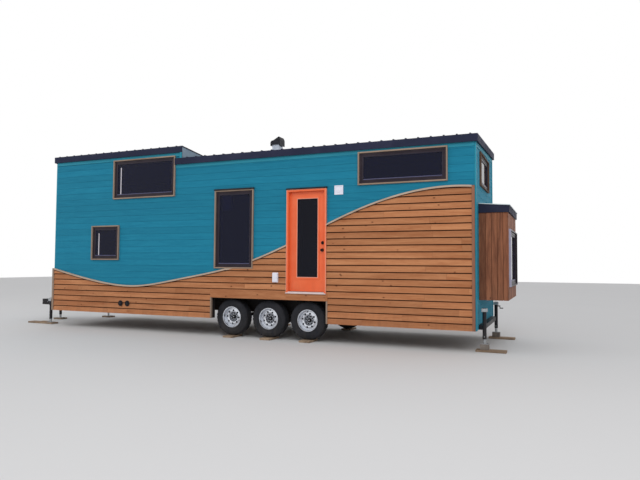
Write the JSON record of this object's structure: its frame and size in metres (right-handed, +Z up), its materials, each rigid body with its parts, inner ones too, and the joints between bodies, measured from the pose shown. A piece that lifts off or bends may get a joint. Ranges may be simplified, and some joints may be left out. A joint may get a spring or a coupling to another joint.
{
  "type": "tiny house on wheels",
  "caption": "Towable timber cabin with a raised loft roof, boarded tail bay, hinged glazed door, turning wheels and sliding levelling jacks.",
  "frame": {"origin": "on the ground under the middle of the whole length and width", "axes": "+X from the tongue to the tail bay, +Y from the door side to the far side, +Z up"},
  "size_m": [12.587, 2.775, 4.3183],
  "materials": {
    "chassis_paint": "black chassis paint",
    "jack_zinc": "zinc-plated tube",
    "floor_wood": "plain deck boards",
    "teal_siding": "painted lap siding",
    "roof_steel": "ribbed steel roofing",
    "step_flashing": "grey-blue flashing",
    "fascia_paint": "dark slate metal cladding",
    "cedar": "oiled lap boards",
    "trim_wood": "weathered trim boards",
    "window_bronze": "dark bronze frames",
    "window_glass": "dark clear glass",
    "door_orange": "orange door paint",
    "sill_aluminium": "pale sill",
    "door_hardware": "black locks and hinges",
    "drip_black": "black drip caps",
    "white_plastic": "white plastic",
    "vent_black": "black plastic",
    "vent_pale": "pale grey curb",
    "bay_boards": "dark upright boards",
    "bay_drip": "pale metal sheet",
    "board_wood": "rough levelling boards",
    "block_concrete": "concrete block",
    "tyre_rubber": "road tyre",
    "rim_silver": "silver wheel paint"
  },
  "bodies": {
    "house": {"tongue": "chassis_paint", "coupler": "chassis_paint", "chassis": "chassis_paint", "axles": "chassis_paint", "jack_tubes": "chassis_paint", "floor": "floor_wood", "front_wall_left": "teal_siding", "front_wall_over_door": "teal_siding", "front_wall_right": "teal_siding", "back_wall": "teal_siding", "tongue_end_wall": "teal_siding", "tail_end_wall": "teal_siding", "main_roof": "roof_steel", "loft_roof": "roof_steel", "roof_step": "step_flashing", "fascia": "fascia_paint", "bay_roof": "fascia_paint", "cladding_left": "cedar", "cladding_right": "cedar", "cladding_under_door": "cedar", "back_cladding": "cedar", "wave_trims": "trim_wood", "corner_trims": "trim_wood", "window_trims": "trim_wood", "window_frames": "window_bronze", "window_glass": "window_glass", "door_frame": "door_orange", "door_sill": "sill_aluminium", "hinge_pins": "door_hardware", "drip_caps": "drip_black", "light_block": "white_plastic", "outlet_cover": "white_plastic", "side_vents": "vent_black", "vent_hood": "vent_black", "vent_curb": "vent_pale", "bay_walls": "bay_boards", "bay_roof_sheet": "bay_drip", "levelling_boards": "board_wood", "jack_blocks": "block_concrete"},
    "door": {"door_leaf": "door_orange", "door_glass": "window_glass", "door_hardware": "door_hardware"},
    "wheel_near_1": {"tyre_near_1": "tyre_rubber", "rim_near_1": "rim_silver"},
    "wheel_near_2": {"tyre_near_2": "tyre_rubber", "rim_near_2": "rim_silver"},
    "wheel_near_3": {"tyre_near_3": "tyre_rubber", "rim_near_3": "rim_silver"},
    "wheel_far_1": {"tyre_far_1": "tyre_rubber", "rim_far_1": "rim_silver"},
    "wheel_far_2": {"tyre_far_2": "tyre_rubber", "rim_far_2": "rim_silver"},
    "wheel_far_3": {"tyre_far_3": "tyre_rubber", "rim_far_3": "rim_silver"},
    "jack_front_near": {"jack_leg_front_near": "jack_zinc"},
    "jack_front_far": {"jack_leg_front_far": "jack_zinc"},
    "jack_tongue": {"jack_leg_tongue": "jack_zinc"},
    "jack_tail_near": {"jack_leg_tail_near": "jack_zinc"},
    "jack_tail_far": {"jack_leg_tail_far": "jack_zinc"}
  },
  "joints": [
    {"name": "door_swing", "type": "hinge", "parent": "house", "child": "door", "pos_m": [2.045, -1.214, 1.938], "axis": [0, 0, 1], "range_deg": [0, 90]},
    {"name": "wheel_near_1_spin", "type": "hinge", "parent": "house", "child": "wheel_near_1", "pos_m": [0.6725, -1.1175, 0.42], "axis": [0, 1, 0], "continuous": true},
    {"name": "wheel_near_2_spin", "type": "hinge", "parent": "house", "child": "wheel_near_2", "pos_m": [1.5575, -1.1175, 0.42], "axis": [0, 1, 0], "continuous": true},
    {"name": "wheel_near_3_spin", "type": "hinge", "parent": "house", "child": "wheel_near_3", "pos_m": [2.4425, -1.1175, 0.42], "axis": [0, 1, 0], "continuous": true},
    {"name": "wheel_far_1_spin", "type": "hinge", "parent": "house", "child": "wheel_far_1", "pos_m": [0.6725, 1.1175, 0.42], "axis": [0, 1, 0], "continuous": true},
    {"name": "wheel_far_2_spin", "type": "hinge", "parent": "house", "child": "wheel_far_2", "pos_m": [1.5575, 1.1175, 0.42], "axis": [0, 1, 0], "continuous": true},
    {"name": "wheel_far_3_spin", "type": "hinge", "parent": "house", "child": "wheel_far_3", "pos_m": [2.4425, 1.1175, 0.42], "axis": [0, 1, 0], "continuous": true},
    {"name": "jack_front_near_slide", "type": "slide", "parent": "house", "child": "jack_front_near", "axis": [0, 0, 1], "range_m": [0, 0.055]},
    {"name": "jack_front_far_slide", "type": "slide", "parent": "house", "child": "jack_front_far", "axis": [0, 0, 1], "range_m": [0, 0.055]},
    {"name": "jack_tongue_slide", "type": "slide", "parent": "house", "child": "jack_tongue", "axis": [0, 0, 1], "range_m": [0, 0.055]},
    {"name": "jack_tail_near_slide", "type": "slide", "parent": "house", "child": "jack_tail_near", "axis": [0, 0, 1], "range_m": [0, 0.055]},
    {"name": "jack_tail_far_slide", "type": "slide", "parent": "house", "child": "jack_tail_far", "axis": [0, 0, 1], "range_m": [0, 0.055]}
  ]
}
